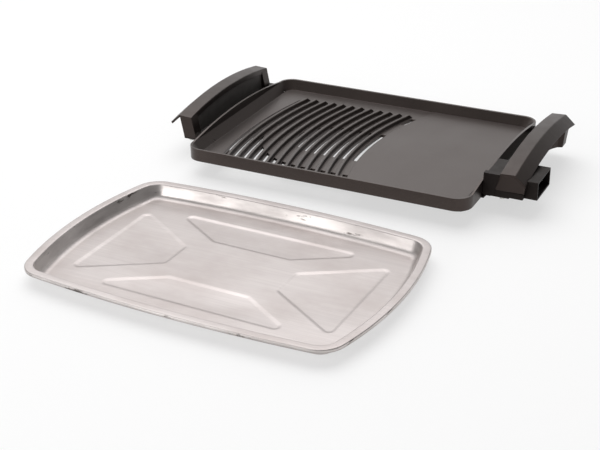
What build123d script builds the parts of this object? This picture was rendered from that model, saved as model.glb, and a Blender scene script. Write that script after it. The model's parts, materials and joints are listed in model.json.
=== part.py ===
"""Electric griddle: cast plate with grill bars, arched handles, probe socket and a loose drip tray.

Millimetres. X runs from the left handle to the right one, Y from front to back, Z up.
The origin is on the table, under the centre of the plate.
"""
import math
import os

from build123d import *

os.makedirs("parts", exist_ok=True)

# ---------------------------------------------------------------- driving dimensions
# Cast plate
PLATE_LENGTH = 400
PLATE_DEPTH = 298
PLATE_CORNER = 21
RIM_Z = 40
RIM_THICKNESS = 3
WALL_BOTTOM_Z = 23
WALL_LEAN = 9
FLOOR_Z = 27
FLAT_STEP = 1
END_ARCH_RISE = 11
END_ARCH_HALF = 128

# Grill bars: rings about one far centre, cut to the grill half; they run into the foot of the front wall
BAR_COUNT = 12
BAR_PITCH = 14.2
BAR_WIDTH = 6
BAR_FLANK_ANGLE = 76
BAR_CREST_RADIUS = 1.2
BAR_HEIGHT = 5
BAR_CENTRE_X = 400
BAR_CENTRE_Y = -23
BAR_FRONT_Y = -141.5
BAR_REAR_Y = 107
GRILL_LENGTH = 240
FLAT_EDGE_RADIUS = 385
SLOT_WIDTH = 7
SLOT_FRONT_Y = -126
SLOT_REAR_Y = 101

# Heating element: a tube bent to a U under the floor
TUBE_RADIUS = 3.2
TUBE_Z = 19.2
CHANNEL_WIDTH = 15
CHANNEL_END_X = 174
CHANNEL_BOTTOM_Z = 16
WEB_WIDTH = 46
RUN_FRONT_Y = -91
RUN_REAR_Y = 53
RUN_LEFT_X = -116
RUN_RIGHT_X = 112
RUN_LEAD_IN = 30
U_BEND_CLEARANCE = 0.5
FRONT_BEND_RADIUS = 14
REAR_BEND_RADIUS = 30
CRANK_START_X = 203

# Probe socket on the right end
SOCKET_Y = -57
SOCKET_DEPTH = 54
SOCKET_BOTTOM_Z = 26
SOCKET_HEIGHT = 24
SOCKET_END_X = 268
SOCKET_WALL = 2
SOCKET_EDGE_RADIUS = 1.2
SHROUD_FOOT_WIDTH = 8
SHROUD_FOOT_START_X = 180
SHROUD_FOOT_END_X = 208
SOCKET_OPEN_LENGTH = 20
BLOCK_X = 224
BLOCK_THICKNESS = 10
SHROUD_CLEARANCE = 0.3
PIN_SPACING = 25.4
PIN_RADIUS = 2.4
PIN_START_X = 228
PIN_ROOT_RADIUS = 2.8
PIN_SHOULDER_X = 235
PIN_TIP_X = 262
PIN_TIP_CHAMFER = 1
SLEEVE_END_X = 240
SENSOR_BORE_RADIUS = 3.3
SLEEVE_RADIUS = 4.2
LUG_LENGTH = 6
LUG_RADIUS = 7

# Handles, drawn for the right one
HANDLE_CENTRE_Y = 18.5
HANDLE_HALF = 111.5
HANDLE_RISE = 11
HANDLE_INNER_X = 222
HANDLE_CREST_X = 241.5
HANDLE_TIP_X = 255
HANDLE_END_Z = 58
HANDLE_CREST_LIFT = 1
HANDLE_TIP_DROP = 11
HANDLE_TIP_UNDERCUT = 2
HANDLE_TIP_EDGE = 2.3
HANDLE_WALL = 3
HANDLE_FLANGE_WALL_X = 1
HANDLE_SKIRT = 41
HANDLE_SKIRT_X = 4
HANDLE_RECESS_X = 1.6
HANDLE_INNER_ROUND = 1
HANDLE_CREST_ROUND = 2.5
SHIELD_DROP = 8
SHIELD_SHEET = 1
SHIELD_INSET = 0.6
SHIELD_TOP_GAP = 0.5
SHIELD_END_GAP = 1
SHIELD_SHELF_X = 201
LEG_DEPTH = 16
LEG_BOTTOM_Z = 28
LEG_LEAN = 6
LEG_TOP_Z = 88
LEG_PILOT_DEPTH = 12

# Brackets, feet and screws
BRACKET_SHEET = 2
FRONT_STRAP = 8
BRACKET_TALL_Z = 56
BRACKET_LOW_Z = 35
JOGGLE_START = 2
JOGGLE_END = 6
COVER_GAP = 0.2
COVER_X = 200.5
COVER_LIP = 8
STRAP_END_X = 183
PLATE_SCREW_X = 190
LEG_SCREW_X = 225
SCREW_RADIUS = 1.75
SCREW_HEAD_RADIUS = 3.4
SCREW_HEAD = 2
PLATE_SCREW_LENGTH = 7
LEG_SCREW_LENGTH = 13
FOOT_SCREW_LENGTH = 12
FOOT_X = 172
FOOT_Y = 95
FOOT_TOP_Z = 18
FOOT_TOP_RADIUS = 9
FOOT_BASE_RADIUS = 7
FOOT_SEAT_Z = 11
FOOT_WELL_RADIUS = 4
PAD_HEIGHT = 3
PAD_STEM = 5
PILOT_DEPTH = 6

# Drip tray, drawn about its own centre
TRAY_X = -13.5
TRAY_Y = -359
TRAY_TURN = -1.3
TRAY_HALF_LENGTH = 218.5
TRAY_HALF_DEPTH = 147.5
TRAY_END_BOW = 21.5
TRAY_SIDE_BOW = 10
TRAY_CORNER = 33
TRAY_HEIGHT = 20
TRAY_SHEET = 1
TRAY_FLANGE = 10
TRAY_WALL_LEAN = 7
TRAY_HEM = 4
PANEL_DROP = 1.6
PANEL_CORNER = 9
PANEL_TAPER = 40
LONG_PANEL = [(140, 99), (-140, 99), (-53, 46), (53, 46)]
END_PANEL = [(172, 86), (72, 24), (72, -24), (172, -86)]

# ---------------------------------------------------------------- derived places
HALF_LENGTH = PLATE_LENGTH / 2
HALF_DEPTH = PLATE_DEPTH / 2
FLOOR_LENGTH = PLATE_LENGTH - 2 * (RIM_THICKNESS + WALL_LEAN)
FLOOR_DEPTH = PLATE_DEPTH - 2 * (RIM_THICKNESS + WALL_LEAN)
BAR_CENTRE = (BAR_CENTRE_X, BAR_CENTRE_Y)
FIRST_BAR_RADIUS = FLAT_EDGE_RADIUS + BAR_PITCH
PIN_Z = SOCKET_BOTTOM_Z + SOCKET_HEIGHT / 2
PIN_YS = {"front": SOCKET_Y - PIN_SPACING / 2, "rear": SOCKET_Y + PIN_SPACING / 2}
CRANK_RADIUS = (PIN_Z - TUBE_Z) / 2
SOCKET_FRONT_Y = SOCKET_Y - SOCKET_DEPTH / 2
SOCKET_REAR_Y = SOCKET_Y + SOCKET_DEPTH / 2
SOCKET_TOP_Z = SOCKET_BOTTOM_Z + SOCKET_HEIGHT
HANDLE_FRONT_Y = HANDLE_CENTRE_Y - HANDLE_HALF
HANDLE_REAR_Y = HANDLE_CENTRE_Y + HANDLE_HALF
HANDLE_MID_Z = HANDLE_END_Z + HANDLE_RISE
LEG_OUTER_X = HANDLE_CREST_X - HANDLE_FLANGE_WALL_X - LEG_LEAN
ARCH_RADIUS = (HANDLE_HALF**2 + HANDLE_RISE**2) / (2 * HANDLE_RISE)
HANDLE_INNER_TOP = (HANDLE_INNER_X, HANDLE_MID_Z)
HANDLE_CREST = (HANDLE_CREST_X, HANDLE_MID_Z + HANDLE_CREST_LIFT)
ARCH_AXIS = Axis((0, HANDLE_CENTRE_Y, HANDLE_MID_Z - ARCH_RADIUS), (1, 0, 0))
STRAP_Z = WALL_BOTTOM_Z - BRACKET_SHEET
LEG_SLOPE = 2 * LEG_LEAN / (LEG_TOP_Z - LEG_BOTTOM_Z)
SHIELD_X = HANDLE_INNER_X + SHIELD_INSET
SHIELD_TOP_Z = HANDLE_MID_Z - SHIELD_DROP - SHIELD_TOP_GAP
SHIELD_BOTTOM_Z = LEG_BOTTOM_Z + SHIELD_SHEET
SHIELD_END_Y = HANDLE_HALF - LEG_DEPTH - SHIELD_END_GAP
FOOT_FLARE = math.degrees(math.atan((FOOT_TOP_RADIUS - FOOT_BASE_RADIUS) / (FOOT_TOP_Z - PAD_HEIGHT)))
# The bracket beside the socket stands up to close the gap; the others stay below the plate's rim
BRACKET_TOPS = {
    "front_right": BRACKET_TALL_Z,
    "front_left": BRACKET_LOW_Z,
    "rear_right": BRACKET_LOW_Z,
    "rear_left": BRACKET_LOW_Z,
}
STRAP_YS = {"front": HANDLE_FRONT_Y + FRONT_STRAP / 2, "rear": HANDLE_REAR_Y - LEG_DEPTH / 2}
PLATE_SCREWS = [(side * PLATE_SCREW_X, y) for side in (-1, 1) for y in STRAP_YS.values()]
LEG_SCREWS = [(side * LEG_SCREW_X, y) for side in (-1, 1) for y in STRAP_YS.values()]
SHROUD_SCREWS = [
    (PLATE_SCREW_X, SOCKET_FRONT_Y + SHROUD_FOOT_WIDTH / 2),
    (PLATE_SCREW_X, SOCKET_REAR_Y - SHROUD_FOOT_WIDTH / 2),
]
FOOT_POINTS = {
    f"{end}_{side}": (x * FOOT_X, y * FOOT_Y)
    for end, y in (("front", -1), ("rear", 1))
    for side, x in (("left", -1), ("right", 1))
}
TRAY_TOP = Plane(origin=(TRAY_X, TRAY_Y, 0)).rotated((0, 0, TRAY_TURN))


def save(part, label):
    """Name a piece and write it as its own STEP file."""
    part.label = label
    export_step(part, f"parts/{label}.step")


def element_plan():
    """Centre line of the element under the floor, from the front pin round to the rear pin."""
    u_radius = (RUN_REAR_Y - RUN_FRONT_Y) / 2 - U_BEND_CLEARANCE
    return FilletPolyline(
        (CRANK_START_X, PIN_YS["front"]),
        (RUN_RIGHT_X + RUN_LEAD_IN, PIN_YS["front"]),
        (RUN_RIGHT_X, RUN_FRONT_Y),
        (RUN_LEFT_X, RUN_FRONT_Y),
        (RUN_LEFT_X, RUN_REAR_Y),
        (RUN_RIGHT_X, RUN_REAR_Y),
        (RUN_RIGHT_X, PIN_YS["rear"]),
        (CRANK_START_X, PIN_YS["rear"]),
        radius=(
            FRONT_BEND_RADIUS,
            FRONT_BEND_RADIUS,
            u_radius,
            u_radius,
            REAR_BEND_RADIUS,
            REAR_BEND_RADIUS,
        ),
    )


def slot_radius(slot):
    """Radius of a drain slot: the first hugs the flat half, the others lie midway between bars."""
    if slot == 0:
        return FLAT_EDGE_RADIUS + FLAT_STEP + SLOT_WIDTH / 2
    return FIRST_BAR_RADIUS + (slot - 0.5) * BAR_PITCH


# ---------------------------------------------------------------- cast plate
with BuildPart() as grill_bars:
    # Rounded ridges turned about the far centre
    with BuildSketch(Plane.XZ.offset(-BAR_CENTRE_Y)):
        for bar in range(BAR_COUNT):
            with Locations((BAR_CENTRE_X - FIRST_BAR_RADIUS - bar * BAR_PITCH, FLOOR_Z)):
                Trapezoid(BAR_WIDTH, BAR_HEIGHT, BAR_FLANK_ANGLE, align=(Align.CENTER, Align.MIN))
    revolve(axis=Axis((BAR_CENTRE_X, BAR_CENTRE_Y, 0), (0, 0, 1)), revolution_arc=360)
    crests = grill_bars.edges().group_by(Axis.Z)[-1]
    fillet(crests, BAR_CREST_RADIUS)
    # Cut to length, with sloping rear ends
    with BuildSketch(Plane.YZ.offset(-HALF_LENGTH)):
        Polygon(
            (BAR_FRONT_Y, FLOOR_Z),
            (BAR_REAR_Y, FLOOR_Z),
            (BAR_REAR_Y - BAR_HEIGHT, FLOOR_Z + BAR_HEIGHT),
            (BAR_FRONT_Y, FLOOR_Z + BAR_HEIGHT),
            align=None,
        )
    extrude(amount=GRILL_LENGTH, mode=Mode.INTERSECT)

with BuildPart() as griddle_plate:
    with BuildSketch(Plane.XY.offset(WALL_BOTTOM_Z)):
        RectangleRounded(PLATE_LENGTH, PLATE_DEPTH, PLATE_CORNER)
    extrude(amount=RIM_Z + END_ARCH_RISE - WALL_BOTTOM_Z)
    # The pan's inside: sloping walls up to the rim, upright above it
    with BuildSketch(Plane.XY.offset(FLOOR_Z)) as floor:
        RectangleRounded(FLOOR_LENGTH, FLOOR_DEPTH, PLATE_CORNER - WALL_LEAN)
    with BuildSketch(Plane.XY.offset(RIM_Z)) as rim_opening:
        RectangleRounded(
            PLATE_LENGTH - 2 * RIM_THICKNESS,
            PLATE_DEPTH - 2 * RIM_THICKNESS,
            PLATE_CORNER - RIM_THICKNESS,
        )
    loft(mode=Mode.SUBTRACT)
    extrude(rim_opening.sketch, amount=END_ARCH_RISE, mode=Mode.SUBTRACT)
    # Level rim at the front and back, a shallow arch along each end
    with BuildSketch(Plane.YZ.offset(-HALF_LENGTH)):
        with BuildLine():
            Polyline(
                (END_ARCH_HALF, RIM_Z),
                (HALF_DEPTH, RIM_Z),
                (HALF_DEPTH, RIM_Z + 2 * END_ARCH_RISE),
                (-HALF_DEPTH, RIM_Z + 2 * END_ARCH_RISE),
                (-HALF_DEPTH, RIM_Z),
                (-END_ARCH_HALF, RIM_Z),
            )
            ThreePointArc((-END_ARCH_HALF, RIM_Z), (0, RIM_Z + END_ARCH_RISE), (END_ARCH_HALF, RIM_Z))
        make_face()
    extrude(amount=PLATE_LENGTH, mode=Mode.SUBTRACT)
    # The flat half stands one step above the floor between the bars
    with BuildSketch(Plane.XY.offset(FLOOR_Z)):
        RectangleRounded(FLOOR_LENGTH, FLOOR_DEPTH, PLATE_CORNER - WALL_LEAN)
        with Locations(BAR_CENTRE):
            Circle(FLAT_EDGE_RADIUS, mode=Mode.INTERSECT)
    extrude(amount=FLAT_STEP)
    # Bosses for the feet and the channel that holds the element, under the floor
    with BuildSketch(Plane.XY.offset(FOOT_TOP_Z)):
        with Locations(*FOOT_POINTS.values()):
            Circle(FOOT_TOP_RADIUS)
    extrude(amount=WALL_BOTTOM_Z - FOOT_TOP_Z)
    with BuildSketch(Plane.XY.offset(CHANNEL_BOTTOM_Z)):
        with BuildLine():
            element_plan()
        trace(line_width=CHANNEL_WIDTH)
        with Locations((CHANNEL_END_X, 0)):
            Rectangle(PLATE_LENGTH, PLATE_DEPTH, align=(Align.MAX, Align.CENTER), mode=Mode.INTERSECT)
    extrude(amount=WALL_BOTTOM_Z - CHANNEL_BOTTOM_Z)
    # Screw holes under the ends and in the foot bosses
    with BuildSketch(Plane.XY.offset(WALL_BOTTOM_Z)):
        with Locations(*PLATE_SCREWS, *SHROUD_SCREWS):
            Circle(SCREW_RADIUS)
    extrude(amount=PILOT_DEPTH, mode=Mode.SUBTRACT)
    with BuildSketch(Plane.XY.offset(FOOT_TOP_Z)):
        with Locations(*FOOT_POINTS.values()):
            Circle(SCREW_RADIUS)
    extrude(amount=PILOT_DEPTH, mode=Mode.SUBTRACT)
    # Lug for the thermostat's sensor, on the outside of the right end
    with BuildSketch(Plane.YZ.offset(HALF_LENGTH - 1)):
        with Locations((SOCKET_Y, PIN_Z)):
            Circle(LUG_RADIUS)
    extrude(amount=LUG_LENGTH + 1)
    with BuildSketch(Plane.YZ.offset(HALF_LENGTH)):
        with Locations((SOCKET_Y, PIN_Z)):
            Circle(SENSOR_BORE_RADIUS)
    extrude(amount=LUG_LENGTH, mode=Mode.SUBTRACT)
    add(grill_bars.part)
    # Drain slots between the bars, outermost ring first, left out over the element
    with BuildSketch(Plane.XY.offset(WALL_BOTTOM_Z)):
        for slot in reversed(range(BAR_COUNT + 1)):
            with Locations(BAR_CENTRE):
                Circle(slot_radius(slot) + SLOT_WIDTH / 2)
                Circle(slot_radius(slot) - SLOT_WIDTH / 2, mode=Mode.SUBTRACT)
        with Locations((-HALF_LENGTH / 2, (SLOT_FRONT_Y + SLOT_REAR_Y) / 2)):
            Rectangle(1.5 * HALF_LENGTH, SLOT_REAR_Y - SLOT_FRONT_Y, mode=Mode.INTERSECT)
        with BuildLine():
            element_plan()
        trace(line_width=WEB_WIDTH, mode=Mode.SUBTRACT)
    extrude(amount=FLOOR_Z - WALL_BOTTOM_Z, mode=Mode.SUBTRACT)
    # Groove in the channel for the element, open below
    with BuildSketch(Plane.XY.offset(CHANNEL_BOTTOM_Z)):
        with BuildLine():
            element_plan()
        trace(line_width=2 * TUBE_RADIUS)
    extrude(amount=TUBE_Z + TUBE_RADIUS - CHANNEL_BOTTOM_Z, mode=Mode.SUBTRACT)
save(griddle_plate.part, "griddle_plate")

# ---------------------------------------------------------------- heating element and its terminals
with BuildPart() as heating_element:
    with BuildLine(Plane.XY.offset(TUBE_Z)) as run:
        element_plan()
    with BuildSketch(Plane.YZ.offset(CRANK_START_X)):
        with Locations((PIN_YS["front"], TUBE_Z)):
            Circle(TUBE_RADIUS)
    sweep(path=run.line)
    for pin_y in PIN_YS.values():
        # Cranked cold end, from under the plate up to the pin
        with BuildLine(Plane.XZ.offset(-pin_y)) as crank:
            JernArc((CRANK_START_X, TUBE_Z), (1, 0), CRANK_RADIUS, 90)
            JernArc((CRANK_START_X + CRANK_RADIUS, TUBE_Z + CRANK_RADIUS), (0, 1), CRANK_RADIUS, -90)
            Line((CRANK_START_X + 2 * CRANK_RADIUS, PIN_Z), (PIN_START_X, PIN_Z))
        with BuildSketch(Plane.YZ.offset(CRANK_START_X)):
            with Locations((pin_y, TUBE_Z)):
                Circle(TUBE_RADIUS)
        sweep(path=crank.line)
save(heating_element.part, "heating_element")

for end, pin_y in PIN_YS.items():
    with BuildPart() as terminal_pin:
        # Thicker root held in the block, shoulder, then the plain contact length
        with BuildSketch(Plane.YZ.offset(PIN_START_X)):
            with Locations((pin_y, PIN_Z)):
                Circle(PIN_ROOT_RADIUS)
        extrude(amount=PIN_SHOULDER_X - PIN_START_X)
        with BuildSketch(Plane.YZ.offset(PIN_SHOULDER_X)):
            with Locations((pin_y, PIN_Z)):
                Circle(PIN_RADIUS)
        extrude(amount=PIN_TIP_X - PIN_SHOULDER_X)
        chamfer(terminal_pin.edges().group_by(Axis.X)[-1], PIN_TIP_CHAMFER)
    save(terminal_pin.part, f"terminal_pin_{end}")

with BuildPart() as sensor_sleeve:
    with BuildSketch(Plane.YZ.offset(HALF_LENGTH + LUG_LENGTH)):
        with Locations((SOCKET_Y, PIN_Z)):
            Circle(SLEEVE_RADIUS)
            Circle(SENSOR_BORE_RADIUS, mode=Mode.SUBTRACT)
    extrude(amount=SLEEVE_END_X - HALF_LENGTH - LUG_LENGTH)
save(sensor_sleeve.part, "sensor_sleeve")

with BuildPart() as terminal_block:
    with BuildSketch(Plane.YZ.offset(BLOCK_X)):
        with Locations((SOCKET_Y, PIN_Z)):
            Rectangle(SOCKET_DEPTH - 2 * SOCKET_WALL, SOCKET_HEIGHT - 2 * SOCKET_WALL)
            Circle(SLEEVE_RADIUS, mode=Mode.SUBTRACT)
        with Locations(*[(pin_y, PIN_Z) for pin_y in PIN_YS.values()]):
            Circle(PIN_ROOT_RADIUS, mode=Mode.SUBTRACT)
    extrude(amount=BLOCK_THICKNESS)
    with BuildSketch(Plane.YZ.offset(BLOCK_X)):
        with Locations(*[(pin_y, PIN_Z) for pin_y in PIN_YS.values()]):
            Circle(TUBE_RADIUS)
    extrude(amount=PIN_START_X - BLOCK_X, mode=Mode.SUBTRACT)
save(terminal_block.part, "terminal_block")

with BuildPart() as probe_shroud:
    with BuildSketch(Plane.YZ.offset(HALF_LENGTH)):
        with Locations((SOCKET_Y, PIN_Z)):
            Rectangle(SOCKET_DEPTH, SOCKET_HEIGHT)
    extrude(amount=SOCKET_END_X - HALF_LENGTH)
    fillet(probe_shroud.edges().filter_by(Axis.X), SOCKET_EDGE_RADIUS)
    with BuildSketch(Plane.YZ.offset(HALF_LENGTH)):
        with Locations((SOCKET_Y, PIN_Z)):
            Rectangle(SOCKET_DEPTH - 2 * SOCKET_WALL, SOCKET_HEIGHT - 2 * SOCKET_WALL)
    extrude(amount=SOCKET_END_X - HALF_LENGTH, mode=Mode.SUBTRACT)
    # Open below where the element comes up
    with BuildSketch(Plane.XY.offset(SOCKET_BOTTOM_Z)):
        with Locations((HALF_LENGTH, SOCKET_Y)):
            Rectangle(
                SOCKET_OPEN_LENGTH, SOCKET_DEPTH - 2 * SOCKET_WALL, align=(Align.MIN, Align.CENTER)
            )
    extrude(amount=SOCKET_WALL, mode=Mode.SUBTRACT)
    # Two feet that turn in under the plate's end
    for _, y in SHROUD_SCREWS:
        with BuildSketch(Plane.XZ.offset(SHROUD_FOOT_WIDTH / 2 - y)):
            Polygon(
                (SHROUD_FOOT_START_X, STRAP_Z),
                (SHROUD_FOOT_END_X, STRAP_Z),
                (SHROUD_FOOT_END_X, SOCKET_BOTTOM_Z + SOCKET_WALL),
                (HALF_LENGTH, SOCKET_BOTTOM_Z + SOCKET_WALL),
                (HALF_LENGTH, WALL_BOTTOM_Z),
                (SHROUD_FOOT_START_X, WALL_BOTTOM_Z),
                align=None,
            )
        extrude(amount=-SHROUD_FOOT_WIDTH)
    with BuildSketch(Plane.XY.offset(STRAP_Z)):
        with Locations(*SHROUD_SCREWS):
            Circle(SCREW_RADIUS)
    extrude(amount=BRACKET_SHEET, mode=Mode.SUBTRACT)
save(probe_shroud.part, "probe_shroud")

# ---------------------------------------------------------------- handles
with BuildPart() as handle_shell:
    # Top, sloping finger flange and skirt, turned about the arch's centre
    with BuildSketch(Plane.XZ.offset(-HANDLE_CENTRE_Y)) as shell_profile:
        Polygon(
            (HANDLE_INNER_X, HANDLE_MID_Z),
            (HANDLE_CREST_X, HANDLE_MID_Z + HANDLE_CREST_LIFT),
            (HANDLE_TIP_X, HANDLE_MID_Z - HANDLE_TIP_DROP),
            (HANDLE_TIP_X - HANDLE_TIP_UNDERCUT, HANDLE_MID_Z - HANDLE_TIP_DROP - HANDLE_TIP_EDGE),
            (HANDLE_CREST_X - HANDLE_FLANGE_WALL_X, HANDLE_MID_Z + HANDLE_CREST_LIFT - HANDLE_WALL),
            (HANDLE_INNER_X + HANDLE_SKIRT_X, HANDLE_MID_Z - HANDLE_WALL),
            (HANDLE_INNER_X + HANDLE_SKIRT_X, HANDLE_MID_Z - HANDLE_SKIRT),
            (HANDLE_INNER_X + HANDLE_RECESS_X, HANDLE_MID_Z - HANDLE_SKIRT),
            (HANDLE_INNER_X + HANDLE_RECESS_X, HANDLE_MID_Z - SHIELD_DROP),
            (HANDLE_INNER_X, HANDLE_MID_Z - SHIELD_DROP),
            align=None,
        )
        fillet(shell_profile.vertices().sort_by_distance(HANDLE_INNER_TOP)[0], HANDLE_INNER_ROUND)
        fillet(shell_profile.vertices().sort_by_distance(HANDLE_CREST)[0], HANDLE_CREST_ROUND)
    revolve(axis=ARCH_AXIS, revolution_arc=360)
    with BuildSketch(Plane.XY.offset(LEG_BOTTOM_Z)):
        with Locations((HANDLE_INNER_X, HANDLE_CENTRE_Y)):
            Rectangle(HALF_LENGTH, 2 * HANDLE_HALF)
    extrude(amount=2 * HANDLE_MID_Z, mode=Mode.INTERSECT)

with BuildPart() as handle_moulding:
    for leg_y in (HANDLE_FRONT_Y, HANDLE_REAR_Y - LEG_DEPTH):
        with BuildSketch(Plane.XZ.offset(-leg_y)):
            Polygon(
                (HANDLE_INNER_X - LEG_LEAN, LEG_BOTTOM_Z),
                (LEG_OUTER_X, LEG_BOTTOM_Z),
                (LEG_OUTER_X + 2 * LEG_LEAN, LEG_TOP_Z),
                (HANDLE_INNER_X + LEG_LEAN, LEG_TOP_Z),
                align=None,
            )
        extrude(amount=-LEG_DEPTH)
    # Everything above the handle's top and flange is cut away
    with BuildSketch(Plane.XZ.offset(-HANDLE_CENTRE_Y)) as above_handle:
        Polygon(
            (HALF_LENGTH, HANDLE_MID_Z),
            (HANDLE_INNER_X, HANDLE_MID_Z),
            (HANDLE_CREST_X, HANDLE_MID_Z + HANDLE_CREST_LIFT),
            (HANDLE_TIP_X, HANDLE_MID_Z - HANDLE_TIP_DROP),
            (HANDLE_TIP_X, HANDLE_MID_Z + LEG_TOP_Z),
            (HALF_LENGTH, HANDLE_MID_Z + LEG_TOP_Z),
            align=None,
        )
        fillet(above_handle.vertices().sort_by_distance(HANDLE_CREST)[0], HANDLE_CREST_ROUND)
    revolve(axis=ARCH_AXIS, revolution_arc=360, mode=Mode.SUBTRACT)
    add(handle_shell.part)
    with BuildSketch(Plane.XY.offset(LEG_BOTTOM_Z)):
        with Locations(*LEG_SCREWS):
            Circle(SCREW_RADIUS)
    extrude(amount=LEG_PILOT_DEPTH, mode=Mode.SUBTRACT)

with BuildPart() as heat_shield:
    # Thin reflector lying in the recess of the skirt, between the legs
    with BuildSketch(Plane.XZ.offset(-HANDLE_CENTRE_Y)):
        Polygon(
            (SHIELD_X, SHIELD_TOP_Z),
            (SHIELD_X + SHIELD_SHEET, SHIELD_TOP_Z),
            (SHIELD_X + SHIELD_SHEET, WALL_BOTTOM_Z - HANDLE_RISE),
            (SHIELD_X, WALL_BOTTOM_Z - HANDLE_RISE),
            align=None,
        )
    revolve(axis=ARCH_AXIS, revolution_arc=360)
    with BuildSketch(Plane.XY.offset(SHIELD_BOTTOM_Z)):
        with Locations((HANDLE_INNER_X, HANDLE_CENTRE_Y)):
            Rectangle(HALF_LENGTH, 2 * SHIELD_END_Y)
    extrude(amount=2 * HANDLE_MID_Z, mode=Mode.INTERSECT)
    # Shelf turned in at the foot, which closes the gap beside the plate from below
    with BuildSketch(Plane.XY.offset(SHIELD_BOTTOM_Z)):
        with Locations((SHIELD_SHELF_X, HANDLE_CENTRE_Y)):
            Rectangle(
                SHIELD_X + SHIELD_SHEET - SHIELD_SHELF_X,
                2 * SHIELD_END_Y,
                align=(Align.MIN, Align.CENTER),
            )
    extrude(amount=SHIELD_SHEET)

# Room for the socket's shroud in the right handle and its shield
with BuildPart() as shroud_room:
    with BuildSketch(Plane.YZ.offset(HALF_LENGTH)):
        with Locations((SOCKET_Y, WALL_BOTTOM_Z)):
            Rectangle(
                SOCKET_DEPTH + 2 * SHROUD_CLEARANCE,
                SOCKET_TOP_Z + SHROUD_CLEARANCE - WALL_BOTTOM_Z,
                align=(Align.CENTER, Align.MIN),
            )
    extrude(amount=SOCKET_END_X - HALF_LENGTH)

for name, piece in (("handle", handle_moulding), ("heat_shield", heat_shield)):
    with BuildPart() as right_piece:
        add(piece.part)
        add(shroud_room.part, mode=Mode.SUBTRACT)
    save(right_piece.part, f"{name}_right")
    with BuildPart() as left_piece:
        mirror(piece.part, about=Plane.YZ)
    save(left_piece.part, f"{name}_left")

# ---------------------------------------------------------------- brackets that carry the handles
for corner, top_z in BRACKET_TOPS.items():
    end, side = corner.split("_")
    # The sketches stand on the outer end face and grow towards the middle of the handle
    outer_face = Plane.XZ.offset(-HANDLE_FRONT_Y if end == "front" else -HANDLE_REAR_Y)
    inward = -1 if end == "front" else 1
    strap_width = FRONT_STRAP if end == "front" else LEG_DEPTH
    cover_edge_x = HANDLE_INNER_X - LEG_LEAN + (top_z - LEG_BOTTOM_Z) * LEG_SLOPE - COVER_GAP
    with BuildPart() as bracket:
        # Joggled strap from under the plate to the foot of the leg
        with BuildSketch(outer_face):
            Polygon(
                (STRAP_END_X, STRAP_Z),
                (HALF_LENGTH + JOGGLE_START, STRAP_Z),
                (HALF_LENGTH + JOGGLE_END, LEG_BOTTOM_Z - BRACKET_SHEET),
                (LEG_OUTER_X, LEG_BOTTOM_Z - BRACKET_SHEET),
                (LEG_OUTER_X, LEG_BOTTOM_Z),
                (HALF_LENGTH + JOGGLE_END - BRACKET_SHEET / 2, LEG_BOTTOM_Z),
                (HALF_LENGTH + JOGGLE_START - BRACKET_SHEET / 2, WALL_BOTTOM_Z),
                (STRAP_END_X, WALL_BOTTOM_Z),
                align=None,
            )
        extrude(amount=inward * strap_width)
        # Upright web between the plate's end and the leg, with a turned-in top edge
        with BuildSketch(outer_face):
            Polygon(
                (COVER_X, LEG_BOTTOM_Z - BRACKET_SHEET),
                (HANDLE_INNER_X - LEG_LEAN - COVER_GAP, LEG_BOTTOM_Z - BRACKET_SHEET),
                (HANDLE_INNER_X - LEG_LEAN - COVER_GAP, LEG_BOTTOM_Z),
                (cover_edge_x, top_z),
                (COVER_X, top_z),
                align=None,
            )
        extrude(amount=inward * BRACKET_SHEET)
        with BuildSketch(outer_face):
            Polygon(
                (COVER_X, top_z - BRACKET_SHEET),
                (cover_edge_x - BRACKET_SHEET * LEG_SLOPE, top_z - BRACKET_SHEET),
                (cover_edge_x, top_z),
                (COVER_X, top_z),
                align=None,
            )
        extrude(amount=inward * COVER_LIP)
        with BuildSketch(Plane.XY.offset(STRAP_Z)):
            with Locations((PLATE_SCREW_X, STRAP_YS[end]), (LEG_SCREW_X, STRAP_YS[end])):
                Circle(SCREW_RADIUS)
        extrude(amount=LEG_BOTTOM_Z - STRAP_Z, mode=Mode.SUBTRACT)
    if side == "right":
        save(bracket.part, f"bracket_{corner}")
        continue
    with BuildPart() as left_bracket:
        mirror(bracket.part, about=Plane.YZ)
    save(left_bracket.part, f"bracket_{corner}")

# ---------------------------------------------------------------- screws, driven from below
SCREW_GROUPS = {
    "plate_screws": (PLATE_SCREWS, STRAP_Z, PLATE_SCREW_LENGTH),
    "leg_screws": (LEG_SCREWS, LEG_BOTTOM_Z - BRACKET_SHEET, LEG_SCREW_LENGTH),
    "shroud_screws": (SHROUD_SCREWS, STRAP_Z, PLATE_SCREW_LENGTH),
    "foot_screws": (list(FOOT_POINTS.values()), FOOT_SEAT_Z, FOOT_SCREW_LENGTH),
}
for label, (places, seat_z, length) in SCREW_GROUPS.items():
    with BuildPart() as screws:
        with BuildSketch(Plane.XY.offset(seat_z - SCREW_HEAD)):
            with Locations(*places):
                Circle(SCREW_HEAD_RADIUS)
        extrude(amount=SCREW_HEAD)
        with BuildSketch(Plane.XY.offset(seat_z)):
            with Locations(*places):
                Circle(SCREW_RADIUS)
        extrude(amount=length)
    save(screws.part, label)

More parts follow.
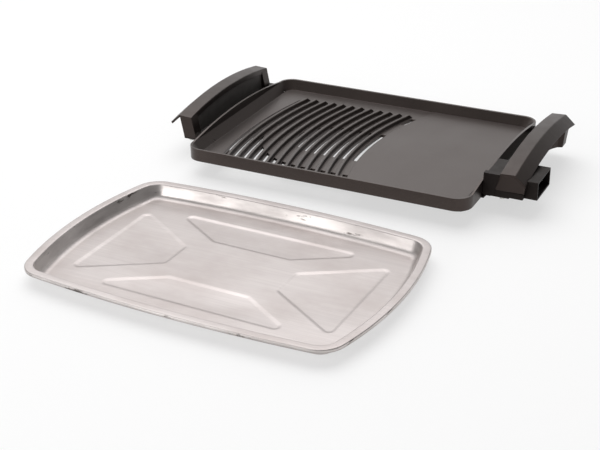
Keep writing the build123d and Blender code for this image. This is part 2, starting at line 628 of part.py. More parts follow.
# ---------------------------------------------------------------- feet
for corner, place in FOOT_POINTS.items():
    with BuildPart() as foot:
        with BuildSketch(Plane.XY.offset(PAD_HEIGHT)):
            with Locations(place):
                Circle(FOOT_BASE_RADIUS)
        extrude(amount=FOOT_TOP_Z - PAD_HEIGHT, taper=-FOOT_FLARE)
        with BuildSketch(Plane.XY.offset(PAD_HEIGHT)):
            with Locations(place):
                Circle(FOOT_WELL_RADIUS)
        extrude(amount=FOOT_SEAT_Z - PAD_HEIGHT, mode=Mode.SUBTRACT)
        with BuildSketch(Plane.XY.offset(FOOT_SEAT_Z)):
            with Locations(place):
                Circle(SCREW_RADIUS)
        extrude(amount=FOOT_TOP_Z - FOOT_SEAT_Z, mode=Mode.SUBTRACT)
    save(foot.part, f"foot_{corner}")
    with BuildPart() as foot_pad:
        with BuildSketch():
            with Locations(place):
                Circle(FOOT_BASE_RADIUS)
        extrude(amount=PAD_HEIGHT)
        with BuildSketch(Plane.XY.offset(PAD_HEIGHT)):
            with Locations(place):
                Circle(FOOT_WELL_RADIUS)
        extrude(amount=PAD_STEM)
    save(foot_pad.part, f"foot_pad_{corner}")

# ---------------------------------------------------------------- drip tray
def tray_plan(inset):
    """The tray's plan, drawn in by a distance: four bowed sides and round corners."""
    half_x = TRAY_HALF_LENGTH - TRAY_END_BOW - inset
    half_y = TRAY_HALF_DEPTH - TRAY_SIDE_BOW - inset
    with BuildSketch() as plan:
        with BuildLine():
            ThreePointArc((half_x, -half_y), (half_x + TRAY_END_BOW, 0), (half_x, half_y))
            ThreePointArc((half_x, half_y), (0, half_y + TRAY_SIDE_BOW), (-half_x, half_y))
            ThreePointArc((-half_x, half_y), (-half_x - TRAY_END_BOW, 0), (-half_x, -half_y))
            ThreePointArc((-half_x, -half_y), (0, -half_y - TRAY_SIDE_BOW), (half_x, -half_y))
        make_face()
        fillet(plan.vertices(), TRAY_CORNER - inset)
    return plan.sketch


def panel_plan(inset):
    """The four pressed panels of the floor, parted by a bar and four arms, drawn in by a distance."""
    with BuildSketch() as plan:
        for turn in (1, -1):
            Polygon(*[(turn * x, turn * y) for x, y in LONG_PANEL], align=None)
            Polygon(*[(turn * x, turn * y) for x, y in END_PANEL], align=None)
        offset(amount=-inset)
        fillet(plan.vertices(), PANEL_CORNER - inset)
    return plan.sketch


with BuildPart() as drip_tray:
    # Outside: bowl, flange and its turned-down edge
    with BuildSketch(TRAY_TOP.offset(PANEL_DROP)):
        add(tray_plan(TRAY_FLANGE + TRAY_WALL_LEAN))
    with BuildSketch(TRAY_TOP.offset(TRAY_HEIGHT)):
        add(tray_plan(TRAY_FLANGE))
    loft()
    with BuildSketch(TRAY_TOP.offset(TRAY_HEIGHT - TRAY_SHEET)):
        add(tray_plan(0))
    extrude(amount=TRAY_SHEET)
    with BuildSketch(TRAY_TOP.offset(TRAY_HEIGHT - TRAY_HEM)):
        add(tray_plan(0))
        add(tray_plan(TRAY_SHEET), mode=Mode.SUBTRACT)
    extrude(amount=TRAY_HEM - TRAY_SHEET)
    # Inside of the bowl
    with BuildSketch(TRAY_TOP.offset(PANEL_DROP + TRAY_SHEET)):
        add(tray_plan(TRAY_FLANGE + TRAY_WALL_LEAN + TRAY_SHEET))
    with BuildSketch(TRAY_TOP.offset(TRAY_HEIGHT)):
        add(tray_plan(TRAY_FLANGE + TRAY_SHEET))
    loft(mode=Mode.SUBTRACT)
    # Panels pressed down to the table, with sloping edges
    with BuildSketch(TRAY_TOP.offset(PANEL_DROP)):
        add(panel_plan(0))
    extrude(amount=-PANEL_DROP, taper=PANEL_TAPER)
    with BuildSketch(TRAY_TOP.offset(PANEL_DROP + TRAY_SHEET)):
        add(panel_plan(TRAY_SHEET))
    extrude(amount=-PANEL_DROP, taper=PANEL_TAPER, mode=Mode.SUBTRACT)
save(drip_tray.part, "drip_tray")
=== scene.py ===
"""Looks of the electric griddle: its finishes, a smooth pressed tray, leg casings and a plain studio."""
import json
import math

import bmesh
import bpy
from mathutils import Matrix, Vector


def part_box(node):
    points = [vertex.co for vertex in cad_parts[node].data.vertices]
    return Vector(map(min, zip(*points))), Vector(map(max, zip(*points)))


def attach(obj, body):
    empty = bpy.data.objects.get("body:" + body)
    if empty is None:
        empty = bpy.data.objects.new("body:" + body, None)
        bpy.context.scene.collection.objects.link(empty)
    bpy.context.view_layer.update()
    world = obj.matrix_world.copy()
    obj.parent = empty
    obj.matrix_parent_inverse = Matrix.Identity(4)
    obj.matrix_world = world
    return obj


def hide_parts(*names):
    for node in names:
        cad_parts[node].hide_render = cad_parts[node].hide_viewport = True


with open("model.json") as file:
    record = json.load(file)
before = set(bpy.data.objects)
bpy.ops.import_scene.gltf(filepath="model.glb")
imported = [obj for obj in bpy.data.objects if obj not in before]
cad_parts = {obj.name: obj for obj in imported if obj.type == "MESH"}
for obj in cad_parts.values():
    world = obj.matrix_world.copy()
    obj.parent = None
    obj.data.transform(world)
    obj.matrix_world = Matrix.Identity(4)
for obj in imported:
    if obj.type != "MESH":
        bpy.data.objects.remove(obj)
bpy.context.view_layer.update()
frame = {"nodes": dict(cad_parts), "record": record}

MM = 0.001


def calculate(tree, operation, *values):
    """The result of a math node, where each value is a number or an output."""
    node = tree.nodes.new("ShaderNodeMath")
    node.operation = operation
    for socket, value in zip(node.inputs, values):
        if isinstance(value, bpy.types.NodeSocket):
            tree.links.new(value, socket)
        else:
            socket.default_value = value
    return node.outputs["Value"]


# ---------------------------------------------------------------- finishes
# Linear colours
COATING_DARK = (0.0085, 0.0068, 0.0062)
COATING_FLECK = (0.026, 0.022, 0.020)
MOULDED = (0.0105, 0.0078, 0.0070)
MOULDED_BLACK = (0.0045, 0.0042, 0.0040)
TRAY_STEEL = (0.435, 0.400, 0.391)
TRAY_STAIN = (0.36, 0.323, 0.313)
# Painted sheen: lighter steel laid over the tray's upright walls
TRAY_WALL_SHEEN = (0.70, 0.655, 0.635)
TRAY_MARK = (0.17, 0.15, 0.14)
SHEATH = (0.19, 0.175, 0.165)
NICKEL = (0.72, 0.70, 0.66)
CERAMIC = (0.62, 0.57, 0.48)
BLACK_PAINT = (0.007, 0.0063, 0.006)
ZINC = (0.56, 0.55, 0.52)
SHIELD = (0.06, 0.058, 0.056)
PAD_RUBBER = (0.013, 0.013, 0.013)
WARM_SHINE = (1.0, 0.80, 0.73)
# Bands of a noise's values, which lie about 0.5: a soft change, or only the peaks
WIDE_BAND = (0.3, 0.7)
MIDDLE_BAND = (0.35, 0.65)
PATCH_BAND = (0.42, 0.68)
WALL_SHEEN_BAND = (0.35, 0.6)
SPECK_BAND = (0.56, 0.66)
MARK_BAND = (0.60, 0.66)
SCRATCH_BAND = (0.66, 0.72)
# Upward or downward part of the normal where a wall turns into a level surface
WALL_END_BAND = (0.6, 0.85)
EDGE_SAMPLES = 6


def shaded(color, factor):
    """A colour made lighter or darker."""
    return tuple(factor * part for part in color)


class Finish:
    """A material with its own node tree, built up by short calls."""

    def __init__(self, name, roughness, metallic=0.0, ior=1.5, edge_mm=0.0):
        self.material = bpy.data.materials.new(name)
        self.material.use_nodes = True
        self.tree = self.material.node_tree
        self.nodes = self.tree.nodes
        self.shader = self.nodes["Principled BSDF"]
        self.shader.inputs["Metallic"].default_value = metallic
        self.shader.inputs["IOR"].default_value = ior
        self.shader.inputs["Roughness"].default_value = roughness
        if not metallic:
            self.shader.inputs["Specular Tint"].default_value = (*WARM_SHINE, 1)
        self.place = self.nodes.new("ShaderNodeTexCoord").outputs["Object"]
        self.normal = None
        if edge_mm:
            rounded = self.nodes.new("ShaderNodeBevel")
            rounded.samples = EDGE_SAMPLES
            rounded.inputs["Radius"].default_value = edge_mm * MM
            self.normal = rounded.outputs["Normal"]

    def link(self, source, target):
        self.tree.links.new(source, target)

    def noise(self, scale, detail, stretch=(1, 1, 1), roughness=0.5):
        """Fractal noise in the object's own metres, drawn out along the axes whose stretch is small."""
        mapping = self.nodes.new("ShaderNodeMapping")
        mapping.inputs["Scale"].default_value = stretch
        self.link(self.place, mapping.inputs["Vector"])
        texture = self.nodes.new("ShaderNodeTexNoise")
        texture.inputs["Scale"].default_value = scale
        texture.inputs["Detail"].default_value = detail
        texture.inputs["Roughness"].default_value = roughness
        self.link(mapping.outputs["Vector"], texture.inputs["Vector"])
        return texture.outputs["Fac"]

    def between(self, value, band, result=(0.0, 1.0)):
        """A band of a value, spread over the range of the result."""
        spread = self.nodes.new("ShaderNodeMapRange")
        spread.inputs["From Min"].default_value = band[0]
        spread.inputs["From Max"].default_value = band[1]
        spread.inputs["To Min"].default_value = result[0]
        spread.inputs["To Max"].default_value = result[1]
        self.link(value, spread.inputs["Value"])
        return spread.outputs["Result"]

    def mix(self, factor, first, second):
        """A colour between two others, where each is a tuple or an output."""
        blend = self.nodes.new("ShaderNodeMix")
        blend.data_type = "RGBA"
        self.link(factor, blend.inputs["Factor"])
        for name, value in (("A", first), ("B", second)):
            socket = next(s for s in blend.inputs if s.name == name and s.type == "RGBA")
            if isinstance(value, tuple):
                socket.default_value = (*value, 1)
            else:
                self.link(value, socket)
        return next(s for s in blend.outputs if s.type == "RGBA")

    def on_walls(self, value):
        """A value kept only where the surface stands upright."""
        geometry = self.nodes.new("ShaderNodeNewGeometry")
        parts = self.nodes.new("ShaderNodeSeparateXYZ")
        self.link(geometry.outputs["True Normal"], parts.inputs["Vector"])
        level = calculate(self.tree, "ABSOLUTE", parts.outputs["Z"])
        upright = self.between(level, WALL_END_BAND, result=(1.0, 0.0))
        return calculate(self.tree, "MULTIPLY", value, upright)

    def bump(self, height, depth_mm):
        """Relief of a given depth, added to what is there."""
        node = self.nodes.new("ShaderNodeBump")
        node.inputs["Distance"].default_value = depth_mm * MM
        self.link(height, node.inputs["Height"])
        if self.normal:
            self.link(self.normal, node.inputs["Normal"])
        self.normal = node.outputs["Normal"]

    def done(self, color, roughness=None):
        """The material, with its colour, its relief and any pattern of roughness joined to its shader."""
        self.link(color, self.shader.inputs["Base Color"])
        self.link(self.normal, self.shader.inputs["Normal"])
        if roughness:
            self.link(roughness, self.shader.inputs["Roughness"])
        return self.material


def nonstick():
    """Speckled non-stick coat over the orange peel of a casting."""
    finish = Finish("nonstick_coating", roughness=0.36, ior=1.62, edge_mm=0.9)
    specks = finish.between(finish.noise(scale=1500, detail=2), SPECK_BAND)
    rough = finish.between(finish.noise(scale=14, detail=4), WIDE_BAND, result=(0.31, 0.38))
    finish.bump(finish.noise(scale=1100, detail=3), depth_mm=0.016)
    finish.bump(finish.noise(scale=9, detail=2), depth_mm=0.12)
    return finish.done(finish.mix(specks, COATING_DARK, COATING_FLECK), rough)


def moulded(name, color, roughness, ior):
    """Satin phenolic with the fine grain of a spark-eroded mould and a faint flow pattern."""
    finish = Finish(name, roughness, ior=ior, edge_mm=0.7)
    flow = finish.between(finish.noise(scale=35, detail=4, stretch=(1, 0.25, 1)), WIDE_BAND)
    finish.bump(finish.noise(scale=1500, detail=2), depth_mm=0.012)
    shine = (0.93 * roughness, 1.1 * roughness)
    rough = finish.between(finish.noise(scale=60, detail=3), WIDE_BAND, result=shine)
    return finish.done(finish.mix(flow, color, shaded(color, 1.3)), rough)


def brushed_tray():
    """Rolled steel: fine streaks, cross scratches and dull patches, with stained walls that carry a painted
    sheen in lighter streaks.
    """
    finish = Finish("tray_brushed_steel", roughness=0.40, metallic=1.0)
    patches = finish.noise(scale=9, detail=5, stretch=(1, 1.6, 1), roughness=0.6)
    streaks = finish.noise(scale=420, detail=3, stretch=(0.02, 1, 1))
    scratches = finish.noise(scale=600, detail=2, stretch=(1, 0.012, 1))
    sheen_streaks = finish.noise(scale=22, detail=5, stretch=(0.6, 0.6, 2.5), roughness=0.6)
    marks = finish.noise(scale=70, detail=5, stretch=(0.3, 0.3, 1), roughness=0.7)
    color = finish.mix(finish.between(streaks, MIDDLE_BAND), TRAY_STEEL, shaded(TRAY_STEEL, 0.92))
    color = finish.mix(finish.between(patches, PATCH_BAND), color, TRAY_STAIN)
    # Painted sheen: the upright walls are lightened in streaks, as light falling on them would do
    painted_wall_sheen = finish.on_walls(finish.between(sheen_streaks, WALL_SHEEN_BAND, result=(0.35, 1.0)))
    color = finish.mix(painted_wall_sheen, color, TRAY_WALL_SHEEN)
    marked = finish.on_walls(finish.between(marks, MARK_BAND))
    color = finish.mix(marked, color, TRAY_MARK)
    finish.bump(finish.noise(scale=6, detail=2), depth_mm=0.35)
    finish.bump(streaks, depth_mm=0.012)
    finish.bump(finish.between(scratches, SCRATCH_BAND), depth_mm=0.01)
    cloud = finish.noise(scale=30, detail=5, stretch=(0.3, 1, 1))
    return finish.done(color, finish.between(cloud, WIDE_BAND, result=(0.36, 0.50)))


def metal(name, color, roughness):
    """Plain metal with a fine grain along one axis, cloudy in tone and in shine."""
    finish = Finish(name, roughness, metallic=1.0)
    tone = finish.between(finish.noise(scale=60, detail=4), MIDDLE_BAND)
    finish.bump(finish.noise(scale=500, detail=2, stretch=(0.1, 1, 1)), depth_mm=0.01)
    shine = (0.8 * roughness, 1.2 * roughness)
    rough = finish.between(finish.noise(scale=90, detail=3), WIDE_BAND, result=shine)
    return finish.done(finish.mix(tone, color, shaded(color, 0.8)), rough)


def painted(name, color, roughness, ior=1.45):
    """A matt skin with a slight orange peel and an uneven tone."""
    finish = Finish(name, roughness, ior=ior)
    tone = finish.between(finish.noise(scale=80, detail=3), MIDDLE_BAND)
    finish.bump(finish.noise(scale=700, detail=2), depth_mm=0.02)
    return finish.done(finish.mix(tone, color, shaded(color, 1.25)))


FINISHES = {
    "nonstick": nonstick(),
    "sheath": metal("element_sheath", SHEATH, roughness=0.5),
    "nickel": metal("nickel_plate", NICKEL, roughness=0.2),
    "insulator": painted("ceramic_block", CERAMIC, roughness=0.7),
    "phenolic": moulded("handle_phenolic", MOULDED, roughness=0.42, ior=1.48),
    "phenolic_black": moulded("black_phenolic", MOULDED_BLACK, roughness=0.5, ior=1.3),
    "shield": painted("shield_coat", SHIELD, roughness=0.55),
    "bracket": painted("bracket_paint", BLACK_PAINT, roughness=0.5, ior=1.3),
    "screw": metal("zinc_plate", ZINC, roughness=0.32),
    "rubber": painted("pad_rubber", PAD_RUBBER, roughness=0.8),
    "tray_steel": brushed_tray(),
}
SLOTS = {row["node"]: row["material_slot"] for row in frame["record"]["subparts"]}
for node, obj in frame["nodes"].items():
    obj.data.materials.clear()
    obj.data.materials.append(FINISHES[SLOTS[node]])


# ---------------------------------------------------------------- forms
def bridge(form, outer, inner):
    """Faces between two rings with the same number of points."""
    for index, vert in enumerate(outer):
        after = (index + 1) % len(outer)
        form.faces.new((vert, outer[after], inner[after], inner[index]))


def add_object(name, form):
    """A named object in the scene, made from a form that is used up."""
    bmesh.ops.recalc_face_normals(form, faces=form.faces)
    mesh = bpy.data.meshes.new(name)
    form.to_mesh(mesh)
    form.free()
    piece = bpy.data.objects.new(name, mesh)
    bpy.context.scene.collection.objects.link(piece)
    return piece


# ---------------------------------------------------------------- pressed tray, millimetres about its centre
TRAY_TURN = math.radians(-1.3)
HALF_LENGTH = 218.5
HALF_DEPTH = 147.5
END_BOW = 21.5
SIDE_BOW = 10
CORNER_RADIUS = 33
SIDE_STEPS = 40
CORNER_STEPS = 18
SHEET = 1
# The rim: a hem folded down outside, a lip, a level flange and the bend into the wall
RIM_TOP = 20
HEM_HEIGHT = 4
LIP_FALL = 2
LIP_RADIUS = 1.2
LIP_ANGLES = (0.4, 0.8, 1.2, math.pi / 2)
FLANGE_PLACES = (5, 8.2)
FLANGE_WIDTH = 8.8
FLANGE_BEND = 2.4
FLANGE_BEND_STEPS = 6
# The wall leans in by its run, and a wide bend takes it into the floor
WALL_RUN = 7
FOOT_BEND = 9.0
FOOT_BEND_STEPS = 7
FLOOR_TOP = 2.6
FLOOR_BORDER = 1.5
# Four panels pressed down into the floor, by their corners
PANEL_TOP = 1.5
PANEL_RADIUS = 9
PANEL_BORDER = 1.2
SLOPE_WIDTH = 6.0
SLOPE_STEPS = 8
LONG_PANEL = [(140, 99), (-140, 99), (-53, 46), (53, 46)]
END_PANEL = [(172, 86), (72, 24), (72, -24), (172, -86)]


def bow_radius(half, bow):
    """Radius of an arc from half its chord and its rise."""
    return (half**2 + bow**2) / (2 * bow)


SIDE_RADIUS = bow_radius(HALF_LENGTH - END_BOW, SIDE_BOW)
END_RADIUS = bow_radius(HALF_DEPTH - SIDE_BOW, END_BOW)
SIDE_CENTRE_Y = HALF_DEPTH - SIDE_RADIUS
END_CENTRE_X = HALF_LENGTH - END_RADIUS


def corner_centre():
    """Centre of the round at the rear right corner, which touches the rear side and the right end."""
    first = SIDE_RADIUS - CORNER_RADIUS
    second = END_RADIUS - CORNER_RADIUS
    start = Vector((0, SIDE_CENTRE_Y))
    gap = Vector((END_CENTRE_X, 0)) - start
    along = (first**2 - second**2 + gap.length**2) / (2 * gap.length)
    across = math.sqrt(first**2 - along**2)
    direction = gap / gap.length
    return start + along * direction + across * Vector((direction.y, -direction.x))


CORNER = corner_centre()
SIDE_ARC_START = math.atan2(CORNER.y - SIDE_CENTRE_Y, CORNER.x)
END_ARC_END = math.atan2(CORNER.y, CORNER.x - END_CENTRE_X)


def polar(angle):
    """A direction in the plane at an angle."""
    return Vector((math.cos(angle), math.sin(angle)))


def outline(inset):
    """Points of the tray's outline drawn in by a distance, counter-clockwise from the right end's middle."""
    arcs = [
        (Vector((END_CENTRE_X, 0)), END_RADIUS - inset, 0, END_ARC_END, SIDE_STEPS),
        (CORNER, CORNER_RADIUS - inset, END_ARC_END, SIDE_ARC_START, CORNER_STEPS),
        (Vector((0, SIDE_CENTRE_Y)), SIDE_RADIUS - inset, SIDE_ARC_START, math.pi / 2, SIDE_STEPS),
    ]
    quarter = []
    for centre, radius, start, end, steps in arcs:
        for step in range(steps):
            quarter.append(centre + radius * polar(start + (end - start) * step / steps))
    rear_middle = Vector((0, HALF_DEPTH - inset))
    rear_left = [Vector((-p.x, p.y)) for p in reversed(quarter[1:])]
    rear_half = quarter + [rear_middle] + rear_left
    left_middle = Vector((-quarter[0].x, 0))
    front_half = [Vector((p.x, -p.y)) for p in reversed(rear_half[1:])]
    return rear_half + [left_middle] + front_half


def panel_ring(corners, outset):
    """Points round a panel with round corners, drawn out by a distance."""
    count = len(corners)
    middle = sum((Vector(c) for c in corners), Vector((0, 0))) / count
    ordered = sorted(corners, key=lambda c: math.atan2(c[1] - middle.y, c[0] - middle.x))
    points = [Vector(c) for c in ordered]
    ring = []
    for index, here in enumerate(points):
        before = (here - points[index - 1]).normalized()
        after = (points[(index + 1) % count] - here).normalized()
        first = Vector((before.y, -before.x))
        last = Vector((after.y, -after.x))
        bisector = (first + last).normalized()
        centre = here - bisector * PANEL_RADIUS / bisector.dot(first)
        start = math.atan2(first.y, first.x)
        turn = (math.atan2(last.y, last.x) - start) % (2 * math.pi)
        for step in range(CORNER_STEPS + 1):
            ring.append(centre + (PANEL_RADIUS + outset) * polar(start + turn * step / CORNER_STEPS))
    return ring


def smooth(share):
    """A share from 0 to 1 that starts and ends level."""
    return share * share * (3 - 2 * share)


def on_round(centre, radius, angle):
    """Inset and height on a round, at an angle upward from its outer side."""
    return centre[0] - radius * math.cos(angle), centre[1] + radius * math.sin(angle)


def tray_profile():
    """Inset and height from the foot of the hem, over the flange and down the wall to the floor."""
    points = [(0, RIM_TOP - HEM_HEIGHT), (0, RIM_TOP - LIP_FALL)]
    lip_centre = (LIP_RADIUS, RIM_TOP - LIP_RADIUS)
    points += [on_round(lip_centre, LIP_RADIUS, angle) for angle in LIP_ANGLES]
    points += [(place, RIM_TOP) for place in FLANGE_PLACES]
    lean = math.atan2(WALL_RUN, RIM_TOP - FLOOR_TOP)
    turn = math.pi / 2 - lean
    bend_centre = (FLANGE_WIDTH, RIM_TOP - FLANGE_BEND)
    for step in range(1, FLANGE_BEND_STEPS + 1):
        angle = math.pi / 2 + turn * step / FLANGE_BEND_STEPS
        points.append(on_round(bend_centre, FLANGE_BEND, angle))
    # The wall ends where its foot's round begins
    wall_top, wall_height = points[-1]
    wall_drop = wall_height - FLOOR_TOP - FOOT_BEND * (1 - math.sin(lean))
    foot_centre = (wall_top + wall_drop * math.tan(lean) + FOOT_BEND * math.cos(lean), FLOOR_TOP + FOOT_BEND)
    for step in range(FOOT_BEND_STEPS + 1):
        angle = -(lean + turn * step / FOOT_BEND_STEPS)
        points.append(on_round(foot_centre, FOOT_BEND, angle))
    points.append((points[-1][0] + FLOOR_BORDER, FLOOR_TOP))
    return points


def add_ring(form, points, height):
    """Points at one height, not yet joined."""
    return [form.verts.new((p.x, p.y, height)) for p in points]


def pressed_rim(form):
    """The sheet from its hem to the edge of its floor; gives the ring where the floor begins."""
    ring = None
    for inset, height in tray_profile():
        following = add_ring(form, outline(inset), height)
        if ring:
            bridge(form, ring, following)
        ring = following
    return ring


def pressed_panel(form, corners):
    """A sunk panel with a soft slope round it; gives the ring that meets the floor."""
    border = add_ring(form, panel_ring(corners, PANEL_BORDER), FLOOR_TOP)
    outer = border
    for step in range(SLOPE_STEPS + 1):
        share = step / SLOPE_STEPS
        depth = FLOOR_TOP - (FLOOR_TOP - PANEL_TOP) * smooth(share)
        inner = add_ring(form, panel_ring(corners, -SLOPE_WIDTH * share), depth)
        bridge(form, outer, inner)
        outer = inner
    form.faces.new(outer)
    return border


def fill_floor(form, borders):
    """The level floor between the rim's ring and the panels' rings."""
    edges = []
    for border in borders:
        for index, vert in enumerate(border):
            edges.append(form.edges.get((vert, border[(index + 1) % len(border)])))
    bmesh.ops.triangle_fill(form, use_beauty=True, edges=edges, normal=(0, 0, 1))


def pressed_tray():
    """The whole tray as one smooth sheet, in the place of its solid."""
    form = bmesh.new()
    borders = [pressed_rim(form)]
    for corners in (LONG_PANEL, END_PANEL):
        for side in (1, -1):
            borders.append(pressed_panel(form, [(side * x, side * y) for x, y in corners]))
    fill_floor(form, borders)
    for face in form.faces:
        face.smooth = True
    tray = add_object("tray_sheet", form)
    low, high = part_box("drip_tray")
    middle = (low + high) / 2
    turn = Matrix.Rotation(TRAY_TURN, 4, "Z")
    tray.data.transform(Matrix.Translation((middle.x, middle.y, 0)) @ turn @ Matrix.Scale(MM, 4))
    sheet = tray.modifiers.new("sheet", "SOLIDIFY")
    sheet.thickness = SHEET * MM
    sheet.offset = -1
    tray.data.materials.append(FINISHES["tray_steel"])
    return tray


tray = pressed_tray()
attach(tray, "tray")
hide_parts("drip_tray")

# ---------------------------------------------------------------- right handle's leg casings, millimetres
HANDLE_CENTRE_Y = 18.5
HANDLE_HALF = 111.5
HANDLE_RISE = 11
HANDLE_RADIUS = bow_radius(HANDLE_HALF, HANDLE_RISE)
# The shell of the handle across its length: its crest, and the flange that falls away from it
SHELL_INNER_X = 223.2
CREST_X = 241
CREST_UNDERSIDE_Z = 67.2
FLANGE_FALL = 0.75
# The least widths of a casing's top, from its outer face to the crest and to the shell's inner side
LEAST_TO_CREST = 0.5
LEAST_TO_SHELL = 1
CASING_SKIN = 0.3
CASING_EDGE = 0.7
CASING_EDGE_STEPS = 3
CASING_INNER_X = 215.7
FRONT_START_Y = HANDLE_CENTRE_Y - HANDLE_HALF - CASING_SKIN
REAR_END_Y = HANDLE_CENTRE_Y + HANDLE_HALF + CASING_SKIN
SOCKET_FRONT_Y = -84.3
FRONT_FOOT_Z = 35.5
BLOCK_FOOT_Z = 27.4
REAR_FOOT_Z = 17
# The socket's block stands this far in front of the leg and below it
BLOCK_STEP = 0.2
# Outer face at the foot and at the top
FRONT_FACE = (253.3, 254.8)
BLOCK_FACE = (252.5, 252.6)
REAR_FACE = (244.3, 248.3)
# Place along the handle and the outer face there. A slanting web leads up to the rear leg
FRONT_LEG = [(FRONT_START_Y, *FRONT_FACE), (SOCKET_FRONT_Y, *FRONT_FACE)]
SOCKET_BLOCK = [(FRONT_START_Y - BLOCK_STEP, *BLOCK_FACE), (SOCKET_FRONT_Y, *BLOCK_FACE)]
REAR_WEB = [(88, 227, 228), (94, 229.5, 231), (103, 233, 236), (111, 238, 242)]
REAR_LEG = REAR_WEB + [(114, *REAR_FACE), (REAR_END_Y, *REAR_FACE)]


def arch_drop(y):
    """How far the arched handle lies below its middle at a place along it."""
    return HANDLE_RADIUS - math.sqrt(HANDLE_RADIUS**2 - (y - HANDLE_CENTRE_Y) ** 2)


def leg_section(y, foot_outer, top_outer, foot_z, top_z):
    """Outline of a leg at a place along the handle, up to a level or else to the underside of the shell."""
    foot = [(CASING_INNER_X, foot_z), (foot_outer, foot_z)]
    if top_z:
        return foot + [(top_outer, top_z), (CASING_INNER_X, top_z)]
    inside = CREST_UNDERSIDE_Z - arch_drop(y)
    edge = inside - FLANGE_FALL * max(0, top_outer - CREST_X)
    crest = min(CREST_X, top_outer - LEAST_TO_CREST)
    inner = min(SHELL_INNER_X, top_outer - LEAST_TO_SHELL)
    return foot + [(top_outer, edge), (crest, inside), (inner, inside)]


def casing(name, places, foot_z, finish, top_z=None):
    """A moulded leg lofted along the handle, laid closely over the narrower solid leg."""
    form = bmesh.new()
    sections = []
    for y, foot_outer, top_outer in places:
        points = leg_section(y, foot_outer, top_outer, foot_z, top_z)
        sections.append([form.verts.new((x * MM, y * MM, z * MM)) for x, z in points])
    for before, after in zip(sections, sections[1:]):
        bridge(form, before, after)
    form.faces.new(sections[0])
    form.faces.new(sections[-1])
    piece = add_object(name, form)
    edges = piece.modifiers.new("edges", "BEVEL")
    edges.width = CASING_EDGE * MM
    edges.segments = CASING_EDGE_STEPS
    piece.data.materials.append(FINISHES[finish])
    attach(piece, "griddle")


casing("leg_casing_front_right", FRONT_LEG, FRONT_FOOT_Z, "phenolic")
casing("leg_casing_rear_right", REAR_LEG, REAR_FOOT_Z, "phenolic")
casing("socket_block_front", SOCKET_BLOCK, BLOCK_FOOT_Z, "phenolic_black", FRONT_FOOT_Z - BLOCK_STEP)

# ---------------------------------------------------------------- studio, metres and watts
FLOOR_HALF = 40
FLOOR_WHITE = (0.93, 0.93, 0.93)
FLOOR_ROUGHNESS = 0.9
# Share of the floor that glows, for camera, glossy and transmission rays only
FLOOR_PALENESS = 0.6
# The room is brightest behind the griddle, so level surfaces shine and upright ones stay dark
BRIGHT_SIDE = (-0.50, 0.75, 0.43)
FRONT_LIGHT = 0.23
REAR_LIGHT = 1.2
# How far a direction points to the bright side where the light starts to grow and where it is full
GROWING_FROM = 0.5
FULL_FROM = 0.97
LAMP_AIM = Vector((0, -0.15, 0))
# Name, place, diameter and power
LAMPS = [
    ("top_softbox", (-0.6, 0.4, 2.2), 3.0, 44),
    ("front_softbox", (-1.05, -2.4, 0.75), 1.3, 16),
    ("rear_softbox", (1.6, 2.1, 0.45), 0.9, 2.0),
]


def floor_material():
    """White that keeps its shadows and looks paler than the light alone would make it."""
    white = bpy.data.materials.new("studio_white")
    white.use_nodes = True
    tree = white.node_tree
    surface = tree.nodes["Principled BSDF"]
    surface.inputs["Base Color"].default_value = (*FLOOR_WHITE, 1)
    surface.inputs["Roughness"].default_value = FLOOR_ROUGHNESS
    path = tree.nodes.new("ShaderNodeLightPath").outputs
    seen = path["Is Camera Ray"]
    for other in ("Is Glossy Ray", "Is Transmission Ray"):
        seen = calculate(tree, "MAXIMUM", seen, path[other])
    glow = tree.nodes.new("ShaderNodeEmission")
    blend = tree.nodes.new("ShaderNodeMixShader")
    tree.links.new(calculate(tree, "MULTIPLY", seen, FLOOR_PALENESS), blend.inputs["Fac"])
    tree.links.new(surface.outputs["BSDF"], blend.inputs[1])
    tree.links.new(glow.outputs["Emission"], blend.inputs[2])
    tree.links.new(blend.outputs["Shader"], tree.nodes["Material Output"].inputs["Surface"])
    return white


def pale_floor():
    """A level floor far wider than the view."""
    bpy.ops.mesh.primitive_plane_add(size=2 * FLOOR_HALF, location=(0, 0, 0))
    floor = bpy.context.object
    floor.name = "studio_floor"
    floor.data.materials.append(floor_material())


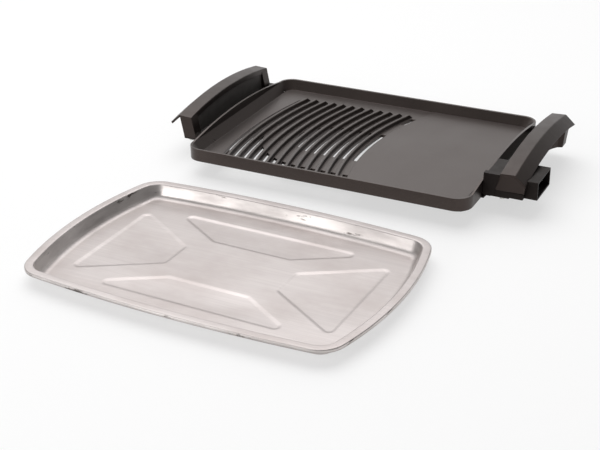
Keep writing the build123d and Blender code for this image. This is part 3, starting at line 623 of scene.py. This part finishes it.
def room_light():
    """White light from all round that grows toward the bright side."""
    world = bpy.data.worlds.new("studio")
    bpy.context.scene.world = world
    world.use_nodes = True
    nodes = world.node_tree.nodes
    links = world.node_tree.links
    nodes["Background"].inputs["Color"].default_value = (1, 1, 1, 1)
    direction = nodes.new("ShaderNodeTexCoord").outputs["Generated"]
    toward_bright = nodes.new("ShaderNodeVectorMath")
    toward_bright.operation = "DOT_PRODUCT"
    toward_bright.inputs[1].default_value = BRIGHT_SIDE
    links.new(direction, toward_bright.inputs[0])
    spread = nodes.new("ShaderNodeMapRange")
    spread.interpolation_type = "SMOOTHSTEP"
    spread.inputs["From Min"].default_value = GROWING_FROM
    spread.inputs["From Max"].default_value = FULL_FROM
    spread.inputs["To Min"].default_value = FRONT_LIGHT
    spread.inputs["To Max"].default_value = REAR_LIGHT
    links.new(toward_bright.outputs["Value"], spread.inputs["Value"])
    links.new(spread.outputs["Result"], nodes["Background"].inputs["Strength"])


def softboxes():
    """Round lamps, all turned to one point."""
    for name, place, diameter, power in LAMPS:
        light = bpy.data.lights.new(name, "AREA")
        light.shape = "DISK"
        light.size = diameter
        light.energy = power
        lamp = bpy.data.objects.new(name, light)
        lamp.location = place
        lamp.rotation_euler = (LAMP_AIM - Vector(place)).to_track_quat("-Z", "Y").to_euler()
        bpy.context.scene.collection.objects.link(lamp)


pale_floor()
room_light()
softboxes()

# ---------------------------------------------------------------- camera, metres and radians
VIEW_POINT = Vector((0.0833, -0.3692, 0.0837))
VIEW_AZIMUTH = 0.4684
VIEW_ELEVATION = 0.4658
VIEW_ROLL = -0.0144
VIEW_DISTANCE = 1.3832
CLIP_END = 100
# Millimetres
LENS = 75.73
SENSOR_WIDTH = 36


def add_camera():
    """The camera, looking at the view point."""
    view = bpy.data.cameras.new("camera")
    view.lens = LENS
    view.sensor_width = SENSOR_WIDTH
    view.clip_end = CLIP_END
    turn = (
        Matrix.Rotation(VIEW_AZIMUTH, 3, "Z")
        @ Matrix.Rotation(math.pi / 2 - VIEW_ELEVATION, 3, "X")
        @ Matrix.Rotation(VIEW_ROLL, 3, "Z")
    )
    camera = bpy.data.objects.new("camera", view)
    camera.location = VIEW_POINT + VIEW_DISTANCE * turn.col[2]
    camera.rotation_euler = turn.to_euler()
    bpy.context.scene.collection.objects.link(camera)
    bpy.context.scene.camera = camera


add_camera()
bpy.context.scene.view_settings.view_transform = "Standard"
